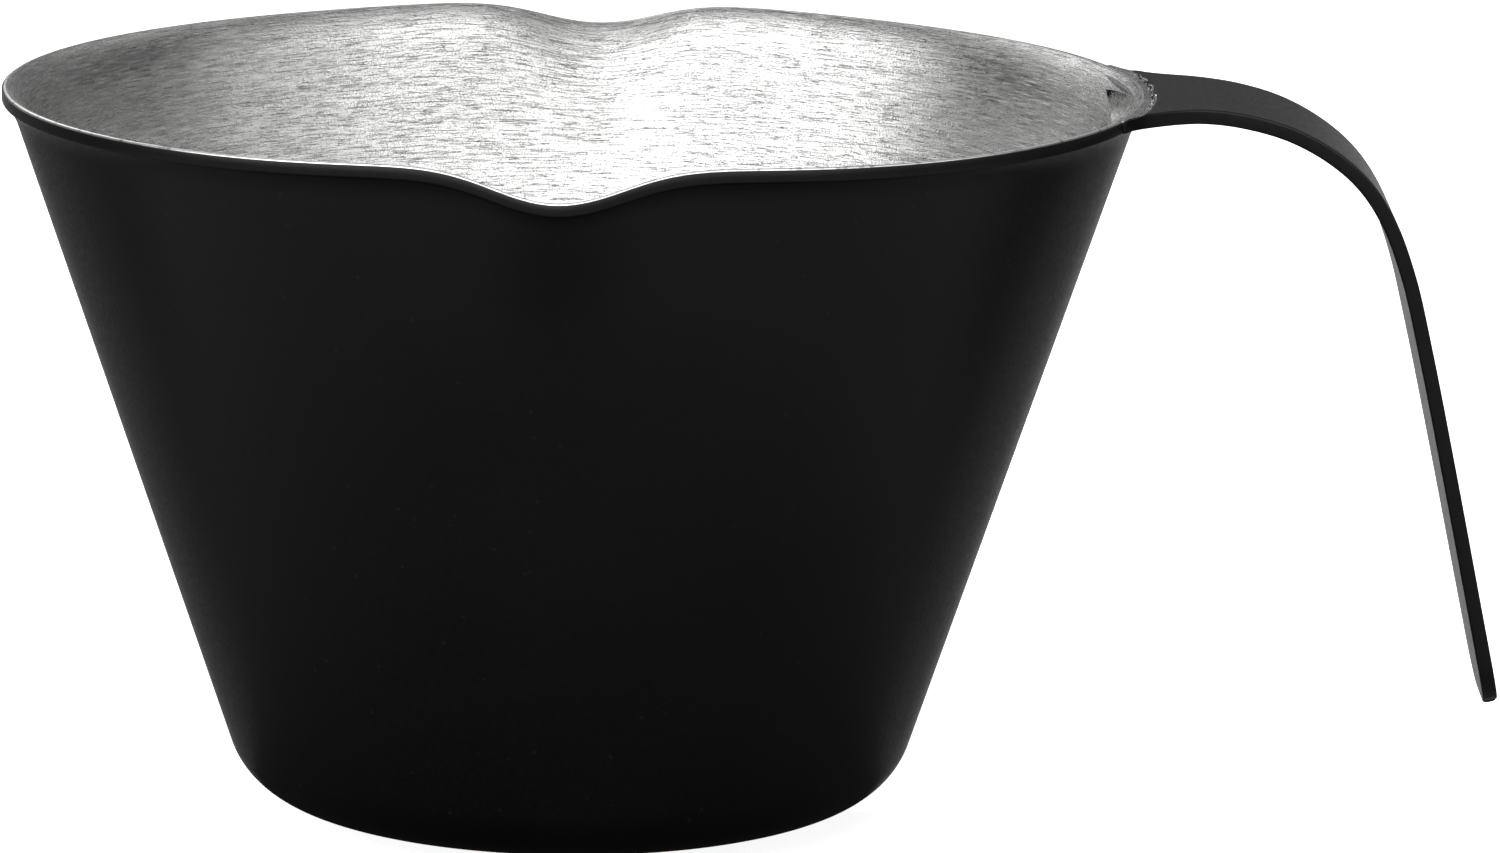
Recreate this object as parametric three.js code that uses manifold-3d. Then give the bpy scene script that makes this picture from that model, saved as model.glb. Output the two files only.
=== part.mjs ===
// Small melting and pouring cup pressed from one steel sheet, black coated outside,
// with two pour lips and a bent strap handle that runs out of the rim.
// Millimetres, +Z up, +X along the handle, pour lips on +Y and -Y, base on z = 0.
import * as THREE from 'three';
import { mergeVertices } from 'three/addons/utils/BufferGeometryUtils.js';
import Module from 'manifold-3d';

const wasm = await Module();
wasm.setup();

// sheet and coat
const STEEL = 0.85; // steel sheet
const COAT = 0.08; // baked coat
const COAT_GAP = 0.02; // clearance between the steel and its coat

// cup: steel outside surface
const RIM_R = 37.4; // rim radius
const RIM_H = 48.56; // top of the rim
const WALL_R0 = 20.95; // wall cone carried down to the base plane
const WALL_SLOPE = 0.3338; // radius gained per millimetre of height
const CORNER_R = 5.4; // corner between base and wall
const CROWN_R = 44.9; // the base rises this gently towards the corner
const CROWN_TURN = 14 * Math.PI / 180; // until it has turned this far
const FLARE_Z = 46.3; // where the wall starts to flare outside
const FLARE_TURN_Z = 47.2; // height the flare turns about
const LIP_DEPTH = 0.8; // height of the cut edge
const LIP_WEAR = 0.12; // worn corners of the cut edge

// pour lips, pressed out of the rim on +Y and -Y
const SPOUT_SHIFT = 0.3; // both lips sit this far towards the handle
const SPOUT_OUT = 2.33; // outward push at the lip centre
const SPOUT_DROP = 1.93; // downward push at the lip centre
const SPOUT_W = 3.93; // spread of the push along the rim
const SIDE_RAISE = 0.52; // rim rises beside the lips
const SIDE_PULL = 1.2; // and is drawn in
const SIDE_W = 11.3; // spread of that rise along the rim
const SPOUT_REACH = 13; // how far down the wall the lips fade out

// strap handle, underside line in the XZ plane from the rim to the tip
const STRAP_LINE = [
  [37.9, 47.7], [41.3, 47.69], [43.9, 47.36], [46.6, 46.56], [49.2, 45.14], [51.2, 43.4],
  [52.8, 41], [54.2, 37.4], [55.45, 32.5], [57.35, 24.05], [59.2, 15.5], [60.72, 8.47],
];
const STRAP_T = 0.77; // strap steel
const STRAP_W0 = 14.6; // width at the rim
const STRAP_W1 = 9.5; // width at the tip
const ROOT_FILLET = 7.0; // concave fillets where the strap leaves the rim
const TIP_R = 2.8; // rounded tip corners
const ROOT_GAP = 0.3; // split between the rim and the strap root
const BARE_ROOT = 0.5; // strap length left bare next to the rim

const CORNER_STEPS = 6;
const WALL_ROWS = [22, 35, 38, 40.5, 43];
const SEGMENTS = 72;
const SEAM_BUNCHING = 0.25; // gathers the facets at the pour lips

const steel = (name) => new THREE.MeshStandardMaterial({
  name, color: 0xb9b9b7, metalness: 1, roughness: 0.35 });
const coat = (name) => new THREE.MeshStandardMaterial({
  name, color: 0x1b1b1c, metalness: 0, roughness: 0.5 });

const smooth = (t) => {
  const u = Math.min(Math.max(t, 0), 1);
  return u * u * (3 - 2 * u);
};

// presses the two pour lips into a surface of revolution about +Z
function pressLips(geometry) {
  const p = geometry.attributes.position;
  for (let i = 0; i < p.count; i += 1) {
    const x = p.getX(i);
    const y = p.getY(i);
    const z = p.getZ(i);
    const r = Math.hypot(x, y);
    if (r < 1e-6) continue;
    const phi = Math.atan2(y, x);
    const theta = phi + SEAM_BUNCHING * Math.sin(2 * phi);
    const fade = smooth((z - RIM_H + SPOUT_REACH) / SPOUT_REACH) ** 1.5;
    const side = Math.sign(Math.sin(theta)) * Math.PI / 2;
    const shift = Math.sin(theta) < 0 ? -SPOUT_SHIFT : SPOUT_SHIFT;
    const arc = RIM_R * (theta - side) + shift;
    const push = Math.exp(-0.5 * (arc / SPOUT_W) ** 2) * fade;
    const bow = Math.exp(-0.5 * (arc / SIDE_W) ** 2) * fade;
    const rr = r + SPOUT_OUT * push - SIDE_PULL * bow;
    const zz = z - SPOUT_DROP * push + SIDE_RAISE * bow;
    p.setXYZ(i, rr * Math.cos(theta), rr * Math.sin(theta), zz);
  }
  return geometry;
}

// point at `t` on a curve with these control points
function bend(points, t) {
  if (points.length === 1) return points[0];
  const next = points.slice(1).map(([r, z], i) => [
    points[i][0] + (r - points[i][0]) * t, points[i][1] + (z - points[i][1]) * t]);
  return bend(next, t);
}

// base and corner of the steel outside pushed out by `off`: the flat's edge, the crown
// and the corner up to the wall
function baseLine(off) {
  const tilt = Math.atan(WALL_SLOPE);
  const turn = Math.PI / 2 - tilt;
  const centreZ = CROWN_R - (CROWN_R - CORNER_R) * Math.cos(CROWN_TURN);
  const centreR = WALL_R0 + WALL_SLOPE * centreZ - CORNER_R / Math.cos(tilt);
  const flatR = centreR - (CROWN_R - CORNER_R) * Math.sin(CROWN_TURN);
  const line = [0, CROWN_TURN / 2].map((a) => [
    flatR + (CROWN_R + off) * Math.sin(a), CROWN_R - (CROWN_R + off) * Math.cos(a)]);
  for (let i = 0; i <= CORNER_STEPS; i += 1) {
    const a = CROWN_TURN + ((turn - CROWN_TURN) * i) / CORNER_STEPS;
    line.push([centreR + (CORNER_R + off) * Math.sin(a),
      centreZ - (CORNER_R + off) * Math.cos(a)]);
  }
  return line;
}

// outside line of the steel cup pushed out by `off`, from point `first` of the base line
// up to the cut edge
function outsideLine(off, first) {
  const tilt = Math.atan(WALL_SLOPE);
  const line = baseLine(off).slice(first);
  const wall = (z) => WALL_R0 + WALL_SLOPE * z + off / Math.cos(tilt);
  for (const z of [...WALL_ROWS, FLARE_Z]) line.push([wall(z), z]);
  // flare: the wall line bends over into the underside of the lip
  const under = RIM_H - LIP_DEPTH - off;
  const end = RIM_R + off - LIP_WEAR;
  for (const t of [0.3, 0.55, 0.8, 1]) {
    line.push(bend([[wall(FLARE_Z), FLARE_Z], [wall(FLARE_TURN_Z), FLARE_TURN_Z], [end, under]], t));
  }
  line.push([RIM_R + off, under + LIP_WEAR], [RIM_R + off, RIM_H - LIP_WEAR]);
  return line;
}

function lathe(line) {
  const points = line.map(([r, z]) => new THREE.Vector2(Math.max(r, 0), z));
  return new THREE.LatheGeometry(points, SEGMENTS).rotateX(Math.PI / 2);
}

function closedMesh(geometry, material) {
  const g = geometry.clone();
  g.deleteAttribute('normal');
  g.deleteAttribute('uv');
  let m = mergeVertices(g, 1e-4);
  const p = m.attributes.position;
  const idx = Array.from(m.index.array);
  const kept = [];
  let volume = 0;
  const a = new THREE.Vector3();
  const b = new THREE.Vector3();
  const c = new THREE.Vector3();
  for (let i = 0; i < idx.length; i += 3) {
    const [i0, i1, i2] = idx.slice(i, i + 3);
    if (i0 === i1 || i1 === i2 || i0 === i2) continue;
    a.fromBufferAttribute(p, i0);
    b.fromBufferAttribute(p, i1);
    c.fromBufferAttribute(p, i2);
    volume += a.dot(b.cross(c)) / 6;
    kept.push(i0, i1, i2);
  }
  if (volume < 0) {
    for (let i = 0; i < kept.length; i += 3) [kept[i], kept[i + 1]] = [kept[i + 1], kept[i]];
  }
  m = m.clone();
  m.setIndex(kept);
  m.computeVertexNormals();
  const mesh = new THREE.Mesh(m, material);
  mesh.name = material.name;
  return mesh;
}

// drawn steel bowl: flat, crown, corner, cone wall, flared rim with its cut edge
function cupBody() {
  const out = outsideLine(0, 0);
  const wall = (z) => WALL_R0 + WALL_SLOPE * z - STEEL / Math.cos(Math.atan(WALL_SLOPE));
  const edge = [[RIM_R - LIP_WEAR, RIM_H], [RIM_R - 0.75, RIM_H - 0.05],
    [wall(47.1), 47.1], [wall(45.8), 45.8]];
  const inner = [0, 0.25, 0.5, 0.75, 1].map((t) => bend(edge, t));
  inner.push(...WALL_ROWS.map((z) => [wall(z), z]).reverse());
  inner.push(...baseLine(-STEEL).reverse());
  const line = [[0, 0], ...out, ...inner, [0, STEEL]];
  return closedMesh(pressLips(lathe(line)), steel('cup_body'));
}

// black coat on the outside of the cup and on the cut edge; it stops on the crown,
// so the steel flat is what stands on the table
function bodyCoat() {
  const first = 1;
  const outer = outsideLine(COAT_GAP + COAT, first);
  const inner = outsideLine(COAT_GAP, first);
  const line = [...inner, ...outer.reverse(), inner[0]];
  return closedMesh(pressLips(lathe(line)), coat('body_coat'));
}

const spine = new THREE.CatmullRomCurve3(
  STRAP_LINE.map(([x, z]) => new THREE.Vector3(x, 0, z)), false, 'centripetal');
const SPINE_LENGTH = spine.getLength();
const ROOT_R = RIM_R + COAT_GAP + COAT + ROOT_GAP; // circle the strap root is cut to

// half width of the strap at a distance `s` from its root
function halfWidth(s, grow) {
  const taper = (STRAP_W0 + (STRAP_W1 - STRAP_W0) * (s / SPINE_LENGTH)) / 2;
  const end = SPINE_LENGTH - s;
  if (end < TIP_R) {
    return grow + taper - TIP_R + Math.sqrt(Math.max(TIP_R ** 2 - (TIP_R - end) ** 2, 0));
  }
  // concave fillet: a circle that touches both the rim and the strap side
  const rho = ROOT_R + s;
  const centre = ROOT_R + ROOT_FILLET;
  const yc = taper + ROOT_FILLET;
  const xc = Math.sqrt(centre ** 2 - yc ** 2);
  if (rho > Math.hypot(xc, taper)) return taper + grow;
  const spread = (rho ** 2 + centre ** 2 - ROOT_FILLET ** 2) / (2 * rho * centre);
  return grow + rho * Math.sin(Math.atan2(yc, xc) - Math.acos(Math.min(spread, 1)));
}

// solid strap grown by `grow` on every face, from row `first` to the tip
function strapSolid(grow, first) {
  const body = [0, BARE_ROOT, 1.2, 1.8, 2.6, 3.8, 5.2, 7, 9, 11, 13, 15, 17, 19, 21.5, 25, 30, 36, 42];
  const rows = body.concat([TIP_R, 1.7, 0.9, 0.35, 0].map((d) => SPINE_LENGTH - d)).slice(first);
  const geometry = new THREE.BoxGeometry(1, 1, 1, rows.length - 1, 6, 1);
  const p = geometry.attributes.position;
  for (let i = 0; i < p.count; i += 1) {
    const k = Math.round((p.getX(i) + 0.5) * (rows.length - 1));
    const s = rows[k];
    const at = spine.getPointAt(s / SPINE_LENGTH);
    const along = spine.getTangentAt(s / SPINE_LENGTH);
    const y = 2 * p.getY(i) * halfWidth(s, grow);
    // near the root the rows follow the rim circle
    const sag = ROOT_R + s - Math.sqrt((ROOT_R + s) ** 2 - y ** 2);
    const back = sag * (1 - smooth((s - 3) / 5)) - (k === rows.length - 1 ? grow : 0);
    const lift = p.getZ(i) > 0 ? STRAP_T + grow : -grow;
    p.setXYZ(i, at.x - along.x * back - along.z * lift, y, at.z - along.z * back + along.x * lift);
  }
  return geometry;
}

function toManifold(geometry) {
  const m = closedMesh(geometry, steel('solid')).geometry;
  return new wasm.Manifold(new wasm.Mesh({
    numProp: 3,
    vertProperties: new Float32Array(m.attributes.position.array),
    triVerts: new Uint32Array(m.index.array),
  }));
}

function fromManifold(solid, material) {
  const m = solid.getMesh();
  const g = new THREE.BufferGeometry();
  g.setAttribute('position', new THREE.BufferAttribute(new Float32Array(m.vertProperties), 3));
  g.setIndex(Array.from(m.triVerts));
  return closedMesh(g, material);
}

// bent strap: leaves the rim level, turns over and runs down and outwards
const strapHandle = () => closedMesh(strapSolid(0, 0), steel('strap_handle'));

// black coat round the strap, open at the root where the steel is left bare
function handleCoat() {
  const sleeve = toManifold(strapSolid(COAT_GAP + COAT, 1));
  const hollow = toManifold(strapSolid(COAT_GAP, 0));
  return fromManifold(sleeve.subtract(hollow), coat('handle_coat'));
}

const group = new THREE.Group();
group.name = 'pouring_cup';
group.add(cupBody(), bodyCoat(), strapHandle(), handleCoat());

export default group;
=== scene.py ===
"""Small melting and pouring cup, pressed from one steel sheet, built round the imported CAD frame.

The bowl is a body of revolution with two pour lips pressed into its rim, the handle is a
strap bent out of the same sheet, and a black coat covers the outside. Sizes are millimetres
until a mesh is made, and metres from there on.
"""
import math
import random

import bpy
from mathutils import Matrix, Vector


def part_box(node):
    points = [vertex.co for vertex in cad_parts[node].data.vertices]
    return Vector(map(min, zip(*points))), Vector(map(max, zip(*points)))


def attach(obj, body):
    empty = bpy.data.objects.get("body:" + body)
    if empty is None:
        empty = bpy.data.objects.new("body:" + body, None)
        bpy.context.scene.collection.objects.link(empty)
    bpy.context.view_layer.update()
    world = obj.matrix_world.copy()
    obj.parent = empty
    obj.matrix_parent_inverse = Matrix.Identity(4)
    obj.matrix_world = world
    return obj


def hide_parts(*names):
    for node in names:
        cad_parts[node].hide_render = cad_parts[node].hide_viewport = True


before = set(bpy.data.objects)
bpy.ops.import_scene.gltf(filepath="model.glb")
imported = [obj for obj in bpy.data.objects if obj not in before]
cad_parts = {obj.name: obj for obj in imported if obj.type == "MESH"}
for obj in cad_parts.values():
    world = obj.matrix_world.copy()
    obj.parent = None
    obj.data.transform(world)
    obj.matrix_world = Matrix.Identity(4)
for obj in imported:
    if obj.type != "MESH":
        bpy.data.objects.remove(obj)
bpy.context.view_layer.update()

MM = 0.001

# sheet and coat
STEEL = 0.85  # bowl sheet
STRAP_STEEL = 0.77  # strap sheet
COAT_IN = 0.02  # inner face of the coat, off the steel
COAT_OUT = 0.10  # outer face of the coat, off the steel

# bowl
RIM_R = -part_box("cup_body")[0].x / MM
RIM_H = 48.56
WALL_R0 = 20.95  # wall cone carried down to the base plane
WALL_SLOPE = 0.3338
CORNER_R = 5.4
CROWN_R = 44.9  # the base rises this gently from its flat
CROWN_TURN = math.radians(14)  # until it has turned this far
FLARE_Z = 46.3  # where the wall starts to flare outside
FLARE_TURN_Z = 47.2
LIP_DEPTH = 0.8  # height of the cut edge
EDGE_R = 0.15  # worn corners of the cut edge
TILT = math.atan(WALL_SLOPE)
TURN = math.pi / 2 - TILT
CORNER_Z = CROWN_R - (CROWN_R - CORNER_R) * math.cos(CROWN_TURN)
CORNER_C = WALL_R0 + WALL_SLOPE * CORNER_Z - CORNER_R / math.cos(TILT)
FLAT_R = CORNER_C - (CROWN_R - CORNER_R) * math.sin(CROWN_TURN)
AROUND = 540  # facets round the bowl
EDGE_STEPS = 6  # facets over the worn inner corner of the cut edge

# strap, its line being the underside of the steel from the rim to the tip as (x, z)
STRAP_LINE = [
    (37.9, 47.76), (41.3, 47.72), (43.9, 47.36), (46.6, 46.56), (49.2, 45.14), (51.2, 43.4),
    (52.8, 41.0), (54.2, 37.4), (55.45, 32.5), (57.35, 24.05), (59.2, 15.5), (60.72, 8.47),
]
STRAP_W0 = 14.6  # width at the rim
STRAP_W1 = 9.5  # width at the tip
ROOT_FILLET = 7.0  # rounds the strap into the rim on both sides
ROOT_GAP = 0.3  # from the coated rim to the strap's start
ROOT_R = RIM_R + COAT_OUT + ROOT_GAP
ROOT_START = -0.28  # the fillets start beside the coated rim
SQUARE_FROM = 3.0  # the strap's rows follow the rim's curve up to here
SQUARE_OVER = 5.0  # and have turned square to it after this much more
TIP_R = 2.8  # rounded corners of the tip
TIP_EDGE_R = 0.3  # worn end face of the tip
TIP_SINK = 0.1  # how far back from the tip its worn end face starts
STRAP_EDGE_R = 0.16  # worn long edges
STRAP_GROW = 0.03  # the visible steel stands this proud, inside its coat
COAT_LINE = 0.15  # where the coat starts on top of the strap
COAT_RAG = 0.14  # how far that line wanders either way
COAT_DIP = 0.06  # how far the coat's top dips under the steel at the rim
LIP_LIFT = 0.004  # keeps the strap's first rows just over the bowl's lip


# ---------------------------------------------------------------- mesh helpers

def make_piece(name, points, faces, material):
    """A smooth mesh object at the origin from points in millimetres."""
    mesh = bpy.data.meshes.new(name)
    mesh.from_pydata([(x * MM, y * MM, z * MM) for x, y, z in points], [], faces)
    mesh.validate()
    mesh.polygons.foreach_set("use_smooth", [True] * len(mesh.polygons))
    mesh.materials.append(material)
    mesh.update()
    piece = bpy.data.objects.new(name, mesh)
    bpy.context.scene.collection.objects.link(piece)
    return piece


def revolve(line, closed):
    """Points and faces of a section line (r, z) turned about Z. Points on the axis become one."""
    points = []
    rings = []
    for r, z in line:
        if r < 1e-6:
            rings.append([len(points)] * AROUND)
            points.append((0, 0, z))
        else:
            rings.append(list(range(len(points), len(points) + AROUND)))
            for i in range(AROUND):
                a = 2 * math.pi * i / AROUND
                points.append((r * math.cos(a), r * math.sin(a), z))
    faces = []
    pairs = list(zip(rings, rings[1:]))
    if closed:
        pairs.append((rings[-1], rings[0]))
    for low, high in pairs:
        for i in range(AROUND):
            j = (i + 1) % AROUND
            face = [low[i], low[j], high[j], high[i]]
            face = [v for k, v in enumerate(face) if v != face[k - 1]]
            if len(face) > 2:
                faces.append(face)
    return points, faces


def arc(cx, cz, radius, a0, a1, steps):
    """Points on a circle from angle a0 to a1, measured from straight down towards +r."""
    out = []
    for i in range(steps + 1):
        a = a0 + (a1 - a0) * i / steps
        out.append((cx + radius * math.sin(a), cz - radius * math.cos(a)))
    return out


# ---------------------------------------------------------------- bowl sections

def wall_r(z, off):
    """Radius of the cone wall at a height, pushed out by off."""
    return WALL_R0 + WALL_SLOPE * z + off / math.cos(TILT)


def bend(points, steps):
    """Points along the curve with these control points."""
    out = []
    for i in range(steps + 1):
        t = i / steps
        level = [Vector(p) for p in points]
        while len(level) > 1:
            level = [p.lerp(q, t) for p, q in zip(level, level[1:])]
        out.append(tuple(level[0]))
    return out


def base_line(off):
    """Flat's edge, crown and corner of the bowl pushed out by off, up to the wall."""
    line = arc(FLAT_R, CROWN_R, CROWN_R + off, 0, CROWN_TURN, 12)
    return line + arc(CORNER_C, CORNER_Z, CORNER_R + off, CROWN_TURN, TURN, 20)[1:]


def outside_line(off, floor):
    """Outside of the bowl pushed out by off, from the base centre to the cut edge's corner."""
    line = [(0, floor), (FLAT_R * 0.6, floor)]
    for r, z in base_line(off):
        line.append((r, max(z, floor)))
    steps = 16
    top = FLARE_Z - 0.1
    z0 = line[-1][1]
    for i in range(1, steps + 1):
        z = z0 + (top - z0) * i / steps
        line.append((wall_r(z, off), z))
    under = RIM_H - LIP_DEPTH - off
    line += bend([(wall_r(FLARE_Z, off), FLARE_Z), (wall_r(FLARE_TURN_Z, off), FLARE_TURN_Z),
                  (RIM_R + off - EDGE_R, under)], 14)
    line += arc(RIM_R + off - EDGE_R, under + EDGE_R, EDGE_R, 0.3, math.pi / 2, 4)
    return line


def inside_line():
    """Inside of the bowl, from the worn corner of the cut edge down to the floor centre."""
    line = arc(RIM_R - EDGE_R, RIM_H - EDGE_R, EDGE_R, math.pi / 2, math.pi, EDGE_STEPS)
    wall_top = 45.8
    line += bend([(RIM_R - EDGE_R, RIM_H), (RIM_R - 0.75, RIM_H - 0.05),
                  (wall_r(47.1, -STEEL), 47.1), (wall_r(wall_top, -STEEL), wall_top)], 22)[1:]
    floor_top = CORNER_Z - (CORNER_R - STEEL) * math.cos(TURN)
    steps = 16
    for i in range(1, steps):
        z = wall_top + (floor_top - wall_top) * i / steps
        line.append((wall_r(z, -STEEL), z))
    line.extend(reversed(base_line(-STEEL)))
    line.extend([(FLAT_R * 0.6, STEEL), (0, STEEL)])
    return line


# ---------------------------------------------------------------- pour lips

def set_stops(colour_ramp, stops):
    """Gives a colour ramp these stops, each a position and a grey value or a colour."""
    elements = colour_ramp.elements
    while len(elements) > 1:
        elements.remove(elements[-1])
    for k, (position, value) in enumerate(stops):
        element = elements[0] if k == 0 else elements.new(position)
        element.position = position
        element.color = value if isinstance(value, tuple) else (value, value, value, 1)


def add(tree, kind, settings=None, inputs=None):
    """Adds a node, sets its properties or socket values, and links its inputs."""
    n = tree.nodes.new(kind)
    for key, value in (settings or {}).items():
        if key == "stops":
            set_stops(n.color_ramp, value)
        elif isinstance(key, str) and hasattr(n, key):
            setattr(n, key, value)
        else:
            n.inputs[key].default_value = value
    for key, source in (inputs or {}).items():
        if isinstance(source, bpy.types.Node):
            source = source.outputs[0]
        if isinstance(source, bpy.types.NodeSocket):
            tree.links.new(source, n.inputs[key])
        else:
            n.inputs[key].default_value = source
    return n


def pour_lip_tree():
    """Geometry nodes that press the two pour lips out of the rim on +Y and -Y."""
    tree = bpy.data.node_groups.new("press_pour_lips", "GeometryNodeTree")
    face = tree.interface
    face.new_socket("Geometry", in_out="INPUT", socket_type="NodeSocketGeometry")
    for name in ("Rim Radius", "Rim Height", "Lip Push", "Lip Drop", "Lip Spread", "Side Pull",
                 "Side Raise", "Side Spread", "Lip Shift", "Reach"):
        face.new_socket(name, in_out="INPUT", socket_type="NodeSocketFloat")
    face.new_socket("Material", in_out="INPUT", socket_type="NodeSocketMaterial")
    face.new_socket("Geometry", in_out="OUTPUT", socket_type="NodeSocketGeometry")
    given = tree.nodes.new("NodeGroupInput").outputs
    result = tree.nodes.new("NodeGroupOutput")

    place = add(tree, "ShaderNodeSeparateXYZ", {}, {0: add(tree, "GeometryNodeInputPosition")})
    x, y, z = place.outputs
    angle = add(tree, "ShaderNodeMath", {"operation": "ARCTAN2"}, {0: y, 1: x})
    ahead = add(tree, "ShaderNodeMath", {"operation": "GREATER_THAN"}, {0: y, 1: 0.0})
    side = add(tree, "ShaderNodeMath", {"operation": "MULTIPLY_ADD"}, {0: ahead, 1: 2.0, 2: -1.0})
    middle = add(tree, "ShaderNodeMath", {"operation": "MULTIPLY"}, {0: side, 1: math.pi / 2})
    from_lip = add(tree, "ShaderNodeMath", {"operation": "SUBTRACT"}, {0: angle, 1: middle})
    shift = add(tree, "ShaderNodeMath", {"operation": "MULTIPLY"},
                {0: side, 1: given["Lip Shift"]})
    run = add(tree, "ShaderNodeMath", {"operation": "MULTIPLY_ADD"},
              {0: from_lip, 1: given["Rim Radius"], 2: shift})
    start = add(tree, "ShaderNodeMath", {"operation": "SUBTRACT"},
                {0: given["Rim Height"], 1: given["Reach"]})
    rise = add(tree, "ShaderNodeMapRange", {"interpolation_type": "SMOOTHSTEP"},
               {"Value": z, "From Min": start, "From Max": given["Rim Height"]})
    fade = add(tree, "ShaderNodeMath", {"operation": "POWER"}, {0: rise, 1: 1.5})

    def bell(spread):
        ratio = add(tree, "ShaderNodeMath", {"operation": "DIVIDE"}, {0: run, 1: spread})
        square = add(tree, "ShaderNodeMath", {"operation": "MULTIPLY"}, {0: ratio, 1: ratio})
        power = add(tree, "ShaderNodeMath", {"operation": "MULTIPLY"}, {0: square, 1: -0.5})
        hump = add(tree, "ShaderNodeMath", {"operation": "EXPONENT"}, {0: power})
        return add(tree, "ShaderNodeMath", {"operation": "MULTIPLY"}, {0: hump, 1: fade})

    push = bell(given["Lip Spread"])
    bow = bell(given["Side Spread"])
    pushed = add(tree, "ShaderNodeMath", {"operation": "MULTIPLY"},
                 {0: push, 1: given["Lip Push"]})
    pulled = add(tree, "ShaderNodeMath", {"operation": "MULTIPLY"},
                 {0: bow, 1: given["Side Pull"]})
    out = add(tree, "ShaderNodeMath", {"operation": "SUBTRACT"}, {0: pushed, 1: pulled})
    raised = add(tree, "ShaderNodeMath", {"operation": "MULTIPLY"},
                 {0: bow, 1: given["Side Raise"]})
    dropped = add(tree, "ShaderNodeMath", {"operation": "MULTIPLY"},
                  {0: push, 1: given["Lip Drop"]})
    up = add(tree, "ShaderNodeMath", {"operation": "SUBTRACT"}, {0: raised, 1: dropped})
    cosine = add(tree, "ShaderNodeMath", {"operation": "COSINE"}, {0: angle})
    sine = add(tree, "ShaderNodeMath", {"operation": "SINE"}, {0: angle})
    east = add(tree, "ShaderNodeMath", {"operation": "MULTIPLY"}, {0: out, 1: cosine})
    north = add(tree, "ShaderNodeMath", {"operation": "MULTIPLY"}, {0: out, 1: sine})
    move = add(tree, "ShaderNodeCombineXYZ", {}, {0: east, 1: north, 2: up})
    pressed = add(tree, "GeometryNodeSetPosition", {},
                  {"Geometry": given["Geometry"], "Offset": move})
    real = add(tree, "GeometryNodeRealizeInstances", {}, {0: pressed})
    done = add(tree, "GeometryNodeSetMaterial", {}, {0: real, "Material": given["Material"]})
    tree.links.new(done.outputs[0], result.inputs[0])
    return tree


LIP_SIZES = {
    "Rim Radius": RIM_R * MM, "Rim Height": RIM_H * MM, "Lip Push": 2.33 * MM,
    "Lip Drop": 1.93 * MM, "Lip Spread": 3.93 * MM, "Side Pull": 1.2 * MM,
    "Side Raise": 0.52 * MM, "Side Spread": 11.3 * MM, "Lip Shift": 0.3 * MM, "Reach": 13 * MM,
}


def nib_tree():
    """Geometry nodes that strew small beads along an arc about the cup's axis."""
    tree = bpy.data.node_groups.new("strew_nibs", "GeometryNodeTree")
    face = tree.interface
    face.new_socket("Geometry", in_out="INPUT", socket_type="NodeSocketGeometry")
    for name in ("Arc Radius", "Arc Height", "Arc Half Angle", "Wander", "Smallest", "Largest"):
        face.new_socket(name, in_out="INPUT", socket_type="NodeSocketFloat")
    face.new_socket("Count", in_out="INPUT", socket_type="NodeSocketInt")
    face.new_socket("Seed", in_out="INPUT", socket_type="NodeSocketInt")
    face.new_socket("Material", in_out="INPUT", socket_type="NodeSocketMaterial")
    face.new_socket("Geometry", in_out="OUTPUT", socket_type="NodeSocketGeometry")
    given = tree.nodes.new("NodeGroupInput").outputs
    result = tree.nodes.new("NodeGroupOutput")
    spots = add(tree, "GeometryNodeMeshLine", {}, {"Count": given["Count"]})
    half = given["Arc Half Angle"]
    less = add(tree, "ShaderNodeMath", {"operation": "MULTIPLY", 1: -1.0}, {0: half})
    angle = add(tree, "FunctionNodeRandomValue", {"data_type": "FLOAT"},
                {2: less, 3: half, "Seed": given["Seed"]}).outputs[1]
    other = add(tree, "ShaderNodeMath", {"operation": "ADD", 1: 7.0}, {0: given["Seed"]})
    inward = add(tree, "ShaderNodeMath", {"operation": "MULTIPLY", 1: -1.0},
                 {0: given["Wander"]})
    drift = add(tree, "FunctionNodeRandomValue", {"data_type": "FLOAT"},
                {2: inward, 3: given["Wander"], "Seed": other}).outputs[1]
    radius = add(tree, "ShaderNodeMath", {"operation": "ADD"}, {0: given["Arc Radius"], 1: drift})
    east = add(tree, "ShaderNodeMath", {"operation": "MULTIPLY"},
               {0: radius, 1: add(tree, "ShaderNodeMath", {"operation": "COSINE"}, {0: angle})})
    north = add(tree, "ShaderNodeMath", {"operation": "MULTIPLY"},
                {0: radius, 1: add(tree, "ShaderNodeMath", {"operation": "SINE"}, {0: angle})})
    place = add(tree, "ShaderNodeCombineXYZ", {}, {0: east, 1: north, 2: given["Arc Height"]})
    laid = add(tree, "GeometryNodeSetPosition", {}, {"Geometry": spots, "Position": place})
    bead = add(tree, "GeometryNodeMeshIcoSphere", {"Radius": 1.0, "Subdivisions": 2})
    size = add(tree, "FunctionNodeRandomValue", {"data_type": "FLOAT"},
               {2: given["Smallest"], 3: given["Largest"], "Seed": given["Seed"]}).outputs[1]
    beads = add(tree, "GeometryNodeInstanceOnPoints", {},
                {"Points": laid, "Instance": bead, "Scale": size})
    real = add(tree, "GeometryNodeRealizeInstances", {}, {0: beads})
    done = add(tree, "GeometryNodeSetMaterial", {}, {0: real, "Material": given["Material"]})
    tree.links.new(done.outputs[0], result.inputs[0])
    return tree


def run_nodes(piece, tree, values):
    """Runs a geometry node tree on the piece and keeps the result as its plain mesh."""
    modifier = piece.modifiers.new(tree.name, "NODES")
    modifier.node_group = tree
    for item in tree.interface.items_tree:
        if item.item_type == "SOCKET" and item.in_out == "INPUT" and item.name in values:
            modifier[item.identifier] = values[item.name]
    evaluated = piece.evaluated_get(bpy.context.evaluated_depsgraph_get())
    mesh = bpy.data.meshes.new_from_object(evaluated)
    mesh.name = piece.name
    piece.modifiers.remove(modifier)
    piece.data = mesh


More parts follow.
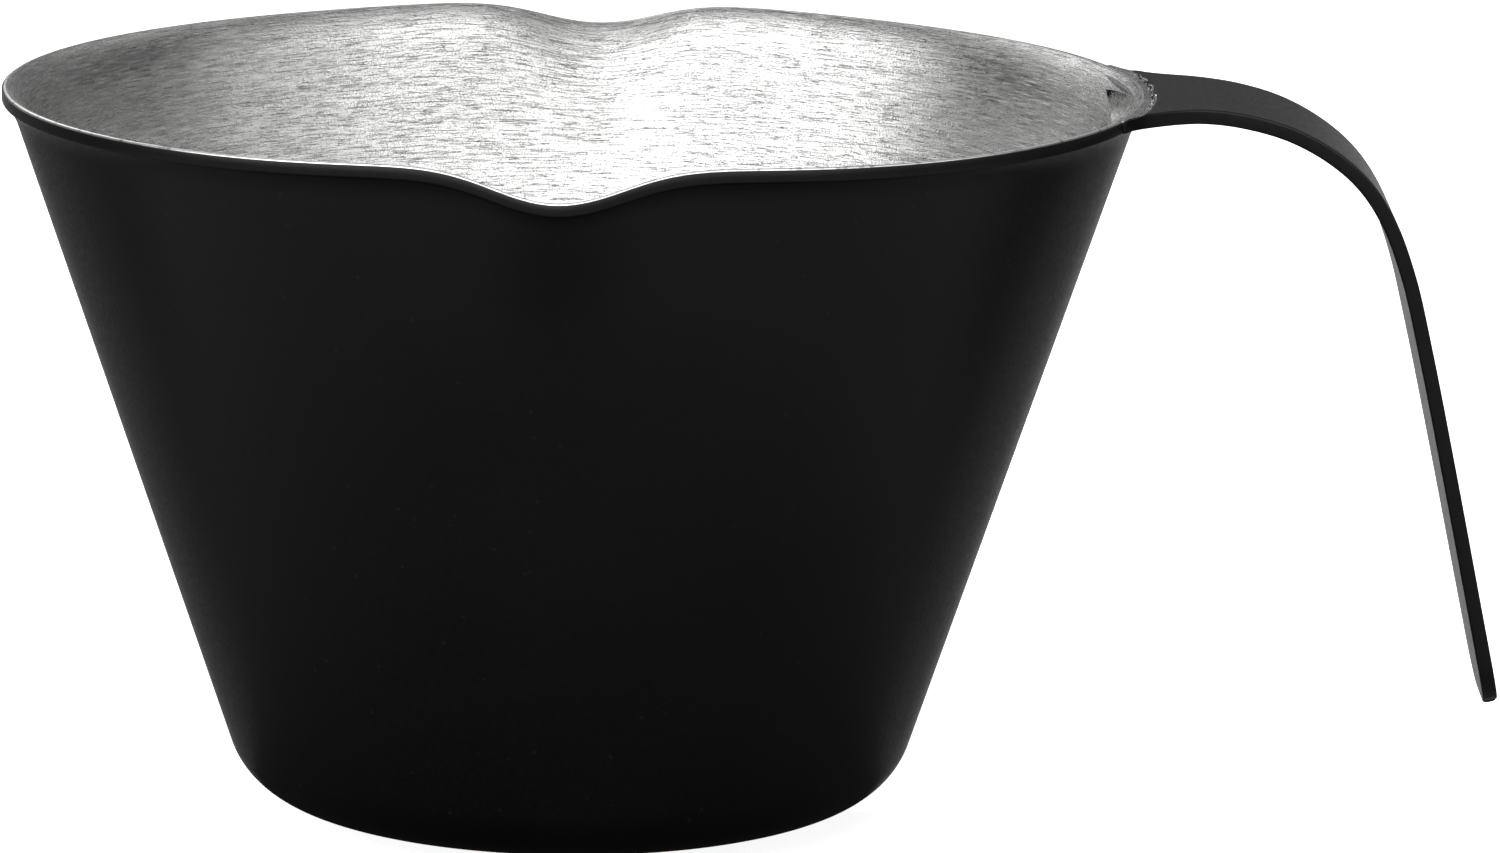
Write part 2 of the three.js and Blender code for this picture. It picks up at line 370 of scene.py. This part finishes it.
# ---------------------------------------------------------------- strap

def catmull(points, per_span):
    """A smooth line through the points, as (x, z) samples."""
    ends = [points[0]] + points + [points[-1]]
    out = []
    for k in range(1, len(ends) - 2):
        p0, p1, p2, p3 = (Vector(p) for p in ends[k - 1:k + 3])
        t01 = max((p1 - p0).length ** 0.5, 1e-3)
        t12 = max((p2 - p1).length ** 0.5, 1e-3)
        t23 = max((p3 - p2).length ** 0.5, 1e-3)
        if k == 1:
            p0, t01 = p1 * 2 - p2, t12
        if k == len(ends) - 3:
            p3, t23 = p2 * 2 - p1, t12
        m1 = ((p1 - p0) / t01 - (p2 - p0) / (t01 + t12) + (p2 - p1) / t12) * t12
        m2 = ((p2 - p1) / t12 - (p3 - p1) / (t12 + t23) + (p3 - p2) / t23) * t12
        for i in range(per_span):
            t = i / per_span
            out.append(p1 * (2 * t ** 3 - 3 * t * t + 1) + m1 * (t ** 3 - 2 * t * t + t)
                       + p2 * (3 * t * t - 2 * t ** 3) + m2 * (t ** 3 - t * t))
    out.append(Vector(points[-1]))
    return out


SPINE = catmull(STRAP_LINE, 60)
RUN = [0.0]
for before, after in zip(SPINE, SPINE[1:]):
    RUN.append(RUN[-1] + (after - before).length)
STRAP_LENGTH = RUN[-1]


def spine_at(s):
    """Place and direction of the strap's underside at a distance s from its root."""
    if s <= 0:
        along = (SPINE[1] - SPINE[0]).normalized()
        return SPINE[0] + along * s, along
    s = min(s, STRAP_LENGTH)
    k = max(i for i, run in enumerate(RUN[:-1]) if run <= s)
    along = SPINE[k + 1] - SPINE[k]
    return SPINE[k] + along * ((s - RUN[k]) / (RUN[k + 1] - RUN[k])), along.normalized()


def half_width(s):
    """Half the strap's width at a distance s from its root, with the fillets and tip corners."""
    taper = (STRAP_W0 + (STRAP_W1 - STRAP_W0) * max(s, 0) / STRAP_LENGTH) / 2
    rho = ROOT_R + s
    y_centre = taper + ROOT_FILLET
    centre = ROOT_R - ROOT_GAP + ROOT_FILLET
    x_centre = math.sqrt(centre ** 2 - y_centre ** 2)
    if rho < math.hypot(x_centre, taper):
        spread = (rho ** 2 + centre ** 2 - ROOT_FILLET ** 2) / (2 * rho * centre)
        turn = math.atan2(y_centre, x_centre) - math.acos(min(spread, 1))
        return rho * math.sin(turn)
    end = STRAP_LENGTH - s
    if end < TIP_R:
        return taper - TIP_R + math.sqrt(max(TIP_R ** 2 - (TIP_R - end) ** 2, 0))
    return taper


def smooth_step(t):
    """Eases from 0 to 1 as t does."""
    t = min(max(t, 0), 1)
    return t * t * (3 - 2 * t)


def lip_drop(rho):
    """How far the bowl's inside is below the rim at this radius."""
    line = inside_line()
    for (r0, z0), (r1, z1) in zip(line[EDGE_STEPS:], line[EDGE_STEPS + 1:]):
        if r1 <= rho <= r0:
            return RIM_H - z0 - (z1 - z0) * (rho - r0) / (r1 - r0)
    return 0.0


def strap_place(s, y, lift):
    """A point of the strap: s along it, y across it, lift above its underside. Past its root
    it lies on the bowl's lip, so the sheet runs on without a step."""
    at, along = spine_at(s)
    rho = ROOT_R + s
    if s < 0:
        lift -= lip_drop(rho) - LIP_LIFT
    sag = rho - math.sqrt(rho ** 2 - y ** 2)
    back = sag * (1 - smooth_step((s - SQUARE_FROM) / SQUARE_OVER))
    return (at.x - along.x * back - along.y * lift, y, at.y - along.y * back + along.x * lift)


def strap_section(columns):
    """The strap's section as a rounded oblong. Each point is four factors: of the half width
    and the corner radius for y, and of the thickness and the corner radius for the lift."""
    quarter = [math.radians(a) for a in (22.5, 45, 67.5, 90)]
    out = []
    for side in (1, -1):
        top = 1 if side == 1 else 0
        for i in range(columns + 1):
            t = side * (-1 + 2 * i / columns)
            out.append((t, -t, top, 0))
        for a in quarter:
            out.append((side, side * (math.sin(a) - 1), top, side * (math.cos(a) - 1)))
        for a in reversed(quarter[:-1]):
            out.append((side, side * (math.sin(a) - 1), 1 - top, side * (1 - math.cos(a))))
        out[-4:-3] = [out[-4], (side, 0, 1 - top, side)]
    return out


def strap_rings(starts, fractions, grow, columns, bare_top=False):
    """Rings round the strap, grown by grow on every face. starts says where each section
    point begins, and the rings share out the rest of its run to the tip. With bare_top the
    top corners dip under the steel next to the rim."""
    rings = []
    for f in fractions:
        ring = []
        for k, (ay, cy, an, cn) in enumerate(strap_section(columns)):
            s = starts[k] + (STRAP_LENGTH - starts[k]) * f
            half = half_width(s) + grow
            over = grow
            if bare_top:
                over -= (grow + COAT_DIP) * (1 - smooth_step((s + 0.15) / 0.7))
            ring.append(strap_place(s, ay * half + cy * STRAP_EDGE_R,
                                    an * (STRAP_STEEL + grow + over) + cn * STRAP_EDGE_R - grow))
        rings.append(ring)
    # the tip's worn round edge
    _, along = spine_at(STRAP_LENGTH)
    for degrees in (20, 40, 60, 80):
        turn = math.radians(degrees)
        inset = TIP_EDGE_R * (1 - math.cos(turn))
        reach = TIP_EDGE_R * math.sin(turn) + grow - TIP_SINK
        half = half_width(STRAP_LENGTH) + grow - inset
        thick = STRAP_STEEL + 2 * (grow - inset)
        ring = []
        for ay, cy, an, cn in strap_section(columns):
            x, y, z = strap_place(STRAP_LENGTH, ay * half + cy * (STRAP_EDGE_R - inset / 3),
                                  an * thick + cn * (STRAP_EDGE_R - inset / 3) - grow + inset)
            ring.append((x + along.x * reach, y, z + along.y * reach))
        rings.append(ring)
    return rings


def tube_faces(rings, capped):
    """Points and faces of a stack of rings, its last ring filled when capped."""
    n = len(rings[0])
    points = [p for ring in rings for p in ring]
    faces = []
    for r in range(len(rings) - 1):
        for i in range(n):
            j = (i + 1) % n
            faces.append([r * n + i, r * n + j, (r + 1) * n + j, (r + 1) * n + i])
    if capped:
        faces.append([(len(rings) - 1) * n + i for i in range(n)])
    return points, faces


def row_fractions():
    """Rows along the strap, closest at the root's fillets and at the tip's round corners."""
    near = 8 / STRAP_LENGTH
    last = 1 - TIP_R / STRAP_LENGTH
    out = [near * (i / 40) ** 2 for i in range(40)]
    out += [near + (last - near) * i / 130 for i in range(130)]
    out += [last + (1 - last) * math.sin(math.pi / 2 * i / 12) for i in range(13)]
    return out


# ---------------------------------------------------------------- materials

def colour(hex_value):
    """Linear colour of an sRGB hex value."""
    parts = [int(hex_value[i:i + 2], 16) / 255 for i in (1, 3, 5)]
    linear = [c / 12.92 if c <= 0.04045 else ((c + 0.055) / 1.055) ** 2.4 for c in parts]
    return (*linear, 1)


def new_material(name):
    """An empty principled material, its node tree and its shader."""
    material = bpy.data.materials.new(name)
    material.use_nodes = True
    tree = material.node_tree
    tree.nodes.clear()
    output = tree.nodes.new("ShaderNodeOutputMaterial")
    shader = tree.nodes.new("ShaderNodeBsdfPrincipled")
    tree.links.new(shader.outputs[0], output.inputs[0])
    return material, tree, shader


def per_metre(millimetres):
    """Noise scale for a grain of this size."""
    return 1000 / millimetres


def brush_coordinates(tree, along_mm, across_mm):
    """Coordinates that run round the cup, so grain is long round it and fine across it."""
    place = add(tree, "ShaderNodeTexCoord").outputs["Object"]
    xyz = add(tree, "ShaderNodeSeparateXYZ", {}, {0: place})
    radius = add(tree, "ShaderNodeVectorMath", {"operation": "LENGTH"},
                 {0: add(tree, "ShaderNodeVectorMath", {"operation": "MULTIPLY", 1: (1, 1, 0)},
                         {0: place})}).outputs["Value"]
    # distance down the wall grows with the radius and with the height
    down = add(tree, "ShaderNodeMath", {"operation": "ADD"}, {0: radius, 1: xyz.outputs[2]})
    flat = add(tree, "ShaderNodeVectorMath", {"operation": "NORMALIZE"},
               {0: add(tree, "ShaderNodeVectorMath", {"operation": "MULTIPLY", 1: (1, 1, 0)},
                       {0: place})})
    turn = add(tree, "ShaderNodeVectorMath", {"operation": "SCALE",
               "Scale": RIM_R * MM * per_metre(along_mm)}, {0: flat})
    fine = add(tree, "ShaderNodeMath", {"operation": "MULTIPLY", 1: per_metre(across_mm)}, {0: down})
    lift = add(tree, "ShaderNodeCombineXYZ", {}, {2: fine})
    return add(tree, "ShaderNodeVectorMath", {"operation": "ADD"}, {0: turn, 1: lift})


def brushed_stainless():
    """Stainless sheet brushed round the bowl: bright, with short fine scratches, some of them
    flashing, and a blasted grain between them. Drag marks fan out next to the strap."""
    material, tree, shader = new_material("brushed_stainless")
    hairlines = add(tree, "ShaderNodeTexNoise", {"Scale": 1.0, "Detail": 3.0, "Roughness": 0.6},
                    {"Vector": brush_coordinates(tree, 2.6, 0.085)})
    bands = add(tree, "ShaderNodeTexNoise", {"Scale": 1.0, "Detail": 2.0, "Roughness": 0.5},
                {"Vector": brush_coordinates(tree, 26.0, 1.1)})
    scratches = add(tree, "ShaderNodeTexNoise", {"Scale": 1.0, "Detail": 1.0, "Roughness": 0.4},
                    {"Vector": brush_coordinates(tree, 2.0, 0.10)})
    drags = add(tree, "ShaderNodeTexNoise", {"Scale": 1.0, "Detail": 2.0, "Roughness": 0.5},
                {"Vector": brush_coordinates(tree, 0.22, 3.5)})
    place = add(tree, "ShaderNodeTexCoord").outputs["Object"]
    grain = add(tree, "ShaderNodeTexNoise", {"Scale": per_metre(0.11), "Detail": 1.0,
                "Roughness": 0.5}, {"Vector": place})
    east = add(tree, "ShaderNodeSeparateXYZ", {}, {0: place})
    by_strap = add(tree, "ShaderNodeMapRange", {"From Min": (RIM_R - 3.5) * MM,
                   "From Max": (RIM_R - 0.8) * MM, "To Max": 0.8}, {"Value": east})
    tone = add(tree, "ShaderNodeValToRGB", {"stops": [
        (0.32, colour("#b2b2b1")), (0.5, colour("#dededd")), (0.66, colour("#f4f4f3"))]},
        {0: hairlines})
    for amount, source, stops in ((0.3, bands, [(0.3, 0.6), (0.7, 1.0)]),
                                  (0.6, grain, [(0.34, 0.25), (0.46, 1.0)]),
                                  (by_strap, drags, [(0.4, 0.3), (0.52, 1.0)])):
        shade = add(tree, "ShaderNodeValToRGB", {"stops": stops}, {0: source})
        tone = add(tree, "ShaderNodeMix", {"data_type": "RGBA", "blend_type": "MULTIPLY"},
                   {0: amount, 6: tone, 7: shade}).outputs[2]
    tree.links.new(tone, shader.inputs["Base Color"])
    rough = add(tree, "ShaderNodeMapRange", {"From Min": 0.3, "From Max": 0.7, "To Min": 0.2,
                "To Max": 0.34}, {"Value": hairlines})
    tree.links.new(rough.outputs[0], shader.inputs["Roughness"])
    cuts = add(tree, "ShaderNodeValToRGB", {"stops": [(0.58, 0.0), (0.66, 1.0)]},
               {0: scratches})
    height = add(tree, "ShaderNodeMath", {"operation": "MULTIPLY_ADD", 1: 0.3},
                 {0: hairlines, 2: cuts})
    height = add(tree, "ShaderNodeMath", {"operation": "MULTIPLY_ADD", 1: 1.2},
                 {0: grain, 2: height})
    bump = add(tree, "ShaderNodeBump", {"Strength": 0.75, "Distance": 0.00004},
               {"Height": height})
    tree.links.new(bump.outputs[0], shader.inputs["Normal"])
    shader.inputs["Metallic"].default_value = 1.0
    shader.inputs["Anisotropic"].default_value = 0.5
    shader.inputs["Anisotropic Rotation"].default_value = 0.25
    tangent = add(tree, "ShaderNodeTangent", {"direction_type": "RADIAL", "axis": "Z"})
    tree.links.new(tangent.outputs[0], shader.inputs["Tangent"])
    return material


def worn_edge():
    """The corner of the cut edge, rubbed bare and smooth, so it draws a clean bright line."""
    material, tree, shader = new_material("worn_edge")
    place = add(tree, "ShaderNodeTexCoord").outputs["Object"]
    nicks = add(tree, "ShaderNodeTexNoise", {"Scale": per_metre(0.9), "Detail": 2.0},
                {"Vector": place})
    tone = add(tree, "ShaderNodeValToRGB", {"stops": [
        (0.32, colour("#a8a8a7")), (0.45, colour("#f4f4f3"))]}, {0: nicks})
    tree.links.new(tone.outputs[0], shader.inputs["Base Color"])
    shader.inputs["Metallic"].default_value = 1.0
    shader.inputs["Roughness"].default_value = 0.34
    return material


def baked_black_coat():
    """Satin black coat baked on the outside: nearly black face on, paler at a glance, with
    the faint pebble of a sprayed film and a few dust nibs."""
    material, tree, shader = new_material("baked_black_coat")
    place = add(tree, "ShaderNodeTexCoord").outputs["Object"]
    pebble = add(tree, "ShaderNodeTexNoise", {"Scale": per_metre(0.35), "Detail": 3.0,
                 "Roughness": 0.6}, {"Vector": place})
    cloud = add(tree, "ShaderNodeTexNoise", {"Scale": per_metre(14.0), "Detail": 2.0},
                {"Vector": place})
    nibs = add(tree, "ShaderNodeTexVoronoi", {"Scale": per_metre(1.7)}, {"Vector": place})
    tone = add(tree, "ShaderNodeValToRGB", {"stops": [
        (0.3, colour("#070708")), (0.7, colour("#0b0b0c"))]}, {0: cloud})
    specks = add(tree, "ShaderNodeValToRGB", {"stops": [(0.05, 0.012), (0.09, 0.0)]},
                 {0: nibs.outputs["Distance"]})
    tone = add(tree, "ShaderNodeMix", {"data_type": "RGBA", "blend_type": "ADD"},
               {0: 0.5, 6: tone, 7: specks}).outputs[2]
    tree.links.new(tone, shader.inputs["Base Color"])
    rough = add(tree, "ShaderNodeMapRange", {"From Min": 0.35, "From Max": 0.65, "To Min": 0.32,
                "To Max": 0.42}, {"Value": pebble})
    tree.links.new(rough.outputs[0], shader.inputs["Roughness"])
    bump = add(tree, "ShaderNodeBump", {"Strength": 0.12, "Distance": 0.00003}, {"Height": pebble})
    tree.links.new(bump.outputs[0], shader.inputs["Normal"])
    shader.inputs["Specular IOR Level"].default_value = 0.3
    return material


# ---------------------------------------------------------------- the pieces

steel = brushed_stainless()
coat = baked_black_coat()
edge = worn_edge()
lips = pour_lip_tree()
strew = nib_tree()


def steel_bowl():
    """The pressed bowl, its sheet's full thickness, with both pour lips."""
    line = outside_line(0, 0.04)
    corner = len(line)
    line += inside_line()
    piece = make_piece("steel_bowl", *revolve(line, False), steel)
    run_nodes(piece, lips, {**LIP_SIZES, "Material": steel})
    # the rings of faces round the worn corner of the cut edge
    piece.data.materials.append(edge)
    for face in piece.data.polygons:
        ring = face.index // AROUND
        if corner - 1 <= ring <= corner + EDGE_STEPS:
            face.material_index = 1
    return piece


def bowl_coat():
    """Coat over the outside of the bowl and its cut edge, as a closed skin."""
    outer = outside_line(COAT_OUT, 0.0)
    inner = outside_line(COAT_IN, 0.02)
    top = RIM_H - EDGE_R + 0.03
    outer += [(RIM_R + COAT_OUT, top - 0.05), (RIM_R + COAT_OUT - 0.03, top)]
    inner += [(RIM_R + COAT_IN, top)]
    piece = make_piece("bowl_coat", *revolve(outer + inner[::-1], False), coat)
    run_nodes(piece, lips, {**LIP_SIZES, "Material": coat})
    return piece


def steel_strap():
    """The steel of the handle, from the bowl's lip to the tip."""
    columns = 28
    count = len(strap_section(columns))
    rings = strap_rings([ROOT_START] * count, row_fractions(), STRAP_GROW, columns)
    # inside the rim it lies on the bowl's lip and sinks into it, so there is no step
    lip = []
    for s, depth in ((-1.08, 0.06), (-1.0, 0.008), (-0.9, 0), (-0.8, 0), (-0.7, 0), (-0.6, 0),
                     (-0.5, 0), (-0.4, 0)):
        ring = strap_rings([s] * count, [0], STRAP_GROW, columns)[0]
        lip.append([(x, y, z - depth) for x, y, z in ring])
    rings = lip + rings
    points, faces = tube_faces(rings, True)
    faces.append(list(range(count))[::-1])
    return make_piece("steel_strap", points, faces, steel)


def strap_coat():
    """Coat round the strap. On top it starts at a ragged line a little past the rim."""
    columns = 90
    section = strap_section(columns)
    chance = random.Random(7)
    starts = []
    for ay, cy, an, cn in section:
        on_top = an == 1 and cn == 0 and abs(ay) < 0.995
        starts.append(COAT_LINE + chance.uniform(-COAT_RAG, COAT_RAG) if on_top else ROOT_START - 0.12)
    outer = strap_rings(starts, row_fractions(), COAT_OUT, columns, True)
    inner = strap_rings(starts, row_fractions(), COAT_IN, columns, True)
    points, faces = tube_faces(outer, True)
    more, inside = tube_faces(inner, True)
    n = len(section)
    shift = len(points)
    faces += [[shift + v for v in face][::-1] for face in inside]
    for i in range(n):
        j = (i + 1) % n
        faces.append([j, i, shift + i, shift + j])
    return make_piece("strap_coat", points + more, faces, coat)


def coat_nibs(name, seed, material):
    """Beads left along the edge of the coat where it was masked off."""
    piece = make_piece(name, [], [], material)
    run_nodes(piece, strew, {
        "Arc Radius": (ROOT_R + COAT_LINE) * MM, "Arc Height": (RIM_H + 0.02) * MM,
        "Arc Half Angle": 0.2, "Wander": 0.2 * MM, "Smallest": 0.03 * MM, "Largest": 0.085 * MM,
        "Count": 44, "Seed": seed, "Material": material})
    return piece


bowl = steel_bowl()
shell = bowl_coat()
strap = steel_strap()
sleeve = strap_coat()
bright_nibs = coat_nibs("bright_nibs", 3, steel)
dark_nibs = coat_nibs("dark_nibs", 11, coat)

for piece, node, slot in ((bowl, "cup_body", "brushed_steel"), (shell, "body_coat", "black_coat"),
                          (strap, "strap_handle", "brushed_steel"),
                          (sleeve, "handle_coat", "black_coat")):
    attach(piece, "root")
    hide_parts(node)
for piece, slot in ((bright_nibs, "brushed_steel"), (dark_nibs, "black_coat")):
    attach(piece, "root")


# ---------------------------------------------------------------- studio

def camera():
    """Long lens at the height of a standing product, aimed between the bowl and the handle."""
    elevation, azimuth, roll = (math.radians(a) for a in (11.405, 0.559, 0.747))
    distance = 0.480
    away = Vector((-math.sin(azimuth) * math.cos(elevation),
                   math.cos(azimuth) * math.cos(elevation), -math.sin(elevation)))
    level = Vector((math.cos(azimuth), math.sin(azimuth), 0))
    upright = level.cross(away)
    right = level * math.cos(roll) + upright * math.sin(roll)
    up = upright * math.cos(roll) - level * math.sin(roll)
    aim = Vector((0, 0, 0.025)) + right * 0.01176 + up * 0.00062
    place = aim - away * distance
    data = bpy.data.cameras.new("camera")
    data.sensor_width = 36
    data.lens = 173.7
    data.clip_start = 0.01
    turned = bpy.data.objects.new("camera", data)
    turned.matrix_world = Matrix((
        (right.x, up.x, -away.x, place.x), (right.y, up.y, -away.y, place.y),
        (right.z, up.z, -away.z, place.z), (0, 0, 0, 1)))
    bpy.context.scene.collection.objects.link(turned)
    bpy.context.scene.camera = turned


def softbox(name, azimuth, elevation, distance, width, height, power):
    """Area light facing the cup. azimuth 0 is the camera's side, positive towards the handle."""
    a, e = math.radians(azimuth), math.radians(elevation)
    place = Vector((math.sin(a) * math.cos(e), -math.cos(a) * math.cos(e), math.sin(e))) * distance
    place.z += 0.04
    data = bpy.data.lights.new(name, "AREA")
    data.shape = "RECTANGLE"
    data.size = width
    data.size_y = height
    data.energy = power
    lamp = bpy.data.objects.new(name, data)
    lamp.location = place
    lamp.rotation_euler = (Vector((0, 0, 0.04)) - place).to_track_quat("-Z", "Y").to_euler()
    lamp.visible_camera = False
    bpy.context.scene.collection.objects.link(lamp)


def studio():
    """Soft boxes in front and to the sides, one overhead, and two that light the rim."""
    softbox("bank_left", -56, 30, 0.9, 0.74, 0.56, 3.9)
    softbox("bank_front", -8, 30, 0.9, 0.62, 0.56, 4.0)
    softbox("bank_right", 38, 30, 0.9, 0.52, 0.56, 2.2)
    softbox("side_right", 79, 28, 0.9, 0.40, 0.54, 0.8)
    softbox("overhead", 0, 74, 0.9, 1.20, 0.80, 2.2)
    softbox("rim_line", 180, 44, 0.9, 1.40, 0.46, 1.1)
    softbox("rim_left", -150, 27, 0.9, 0.50, 0.42, 0.8)


def white_floor():
    """Pale floor, seen by the camera only, so it doesn't wash out the black coat."""
    size = 3.0
    mesh = bpy.data.meshes.new("floor")
    mesh.from_pydata([(-size, -size, -0.0004), (size, -size, -0.0004), (size, size, -0.0004),
                      (-size, size, -0.0004)], [], [(0, 1, 2, 3)])
    floor = bpy.data.objects.new("floor", mesh)
    bpy.context.scene.collection.objects.link(floor)
    material = bpy.data.materials.new("white_sweep")
    material.use_nodes = True
    tree = material.node_tree
    tree.nodes.clear()
    lit = add(tree, "ShaderNodeEmission", {"Color": colour("#ffffff"), "Strength": 0.9})
    shade = add(tree, "ShaderNodeBsdfDiffuse", {"Color": colour("#ffffff")})
    both = add(tree, "ShaderNodeAddShader", {}, {0: lit, 1: shade})
    output = tree.nodes.new("ShaderNodeOutputMaterial")
    tree.links.new(both.outputs[0], output.inputs[0])
    mesh.materials.append(material)
    floor.visible_glossy = False
    floor.visible_diffuse = False


def table_front():
    """The table in front as the coat reflects it: a glowing card, seen only in reflections, with
    painted shade close to the cup and lighter further off.
    """
    mesh = bpy.data.meshes.new("table_front")
    mesh.from_pydata([(-0.6, -0.9, -0.0002), (0.6, -0.9, -0.0002), (0.6, 0, -0.0002),
                      (-0.6, 0, -0.0002)], [], [(0, 1, 2, 3)])
    table = bpy.data.objects.new("table_front", mesh)
    bpy.context.scene.collection.objects.link(table)
    material = bpy.data.materials.new("painted_shade_table")
    material.use_nodes = True
    tree = material.node_tree
    tree.nodes.clear()
    away = add(tree, "ShaderNodeVectorMath", {"operation": "LENGTH"},
               {0: add(tree, "ShaderNodeTexCoord").outputs["Object"]}).outputs["Value"]
    # painted shade: the card glows less towards the cup, standing in for its contact shadow
    shade = add(tree, "ShaderNodeMapRange", {"From Min": 0.020, "From Max": 0.110,
                "To Min": 0.02, "To Max": 0.36}, {"Value": away})
    lit = add(tree, "ShaderNodeEmission", {"Color": colour("#ffffff")}, {"Strength": shade})
    output = tree.nodes.new("ShaderNodeOutputMaterial")
    tree.links.new(lit.outputs[0], output.inputs[0])
    mesh.materials.append(material)
    table.visible_camera = False
    table.visible_shadow = False


def surround():
    """White to the camera, and to everything else a dim room with the lit sweep low behind."""
    world = bpy.data.worlds.new("surround")
    bpy.context.scene.world = world
    world.use_nodes = True
    tree = world.node_tree
    tree.nodes.clear()
    way = add(tree, "ShaderNodeSeparateXYZ", {},
              {0: add(tree, "ShaderNodeTexCoord").outputs["Generated"]})
    behind = add(tree, "ShaderNodeMapRange", {"From Min": 0.35, "From Max": 0.85, "To Min": 0.07,
                 "To Max": 0.19, "interpolation_type": "SMOOTHSTEP"}, {"Value": way.outputs[1]})
    straight = add(tree, "ShaderNodeMapRange", {"From Min": 0.88, "From Max": 0.97,
                   "To Min": 0.0, "To Max": 0.7, "interpolation_type": "SMOOTHSTEP"},
                   {"Value": way.outputs[1]})
    low = add(tree, "ShaderNodeMapRange", {"From Min": 0.08, "From Max": -0.06, "To Min": 0.0,
              "To Max": 1.0, "interpolation_type": "SMOOTHSTEP"}, {"Value": way.outputs[2]})
    sweep = add(tree, "ShaderNodeMath", {"operation": "MULTIPLY"}, {0: straight, 1: low})
    above = add(tree, "ShaderNodeMapRange", {"From Min": 0.2, "From Max": 0.4, "To Min": 1.0,
                "To Max": 0.5, "interpolation_type": "SMOOTHSTEP"}, {"Value": way.outputs[2]})
    dim = add(tree, "ShaderNodeMath", {"operation": "MULTIPLY"}, {0: behind, 1: above})
    glow = add(tree, "ShaderNodeMath", {"operation": "ADD"}, {0: dim, 1: sweep})
    room = add(tree, "ShaderNodeBackground", {"Color": colour("#ffffff")}, {"Strength": glow})
    white = add(tree, "ShaderNodeBackground", {"Color": colour("#ffffff"), "Strength": 1.0})
    seen = add(tree, "ShaderNodeLightPath").outputs["Is Camera Ray"]
    mixed = add(tree, "ShaderNodeMixShader", {}, {0: seen, 1: room, 2: white})
    output = tree.nodes.new("ShaderNodeOutputWorld")
    tree.links.new(mixed.outputs[0], output.inputs[0])


camera()
studio()
white_floor()
table_front()
surround()
bpy.context.scene.view_settings.view_transform = "Standard"
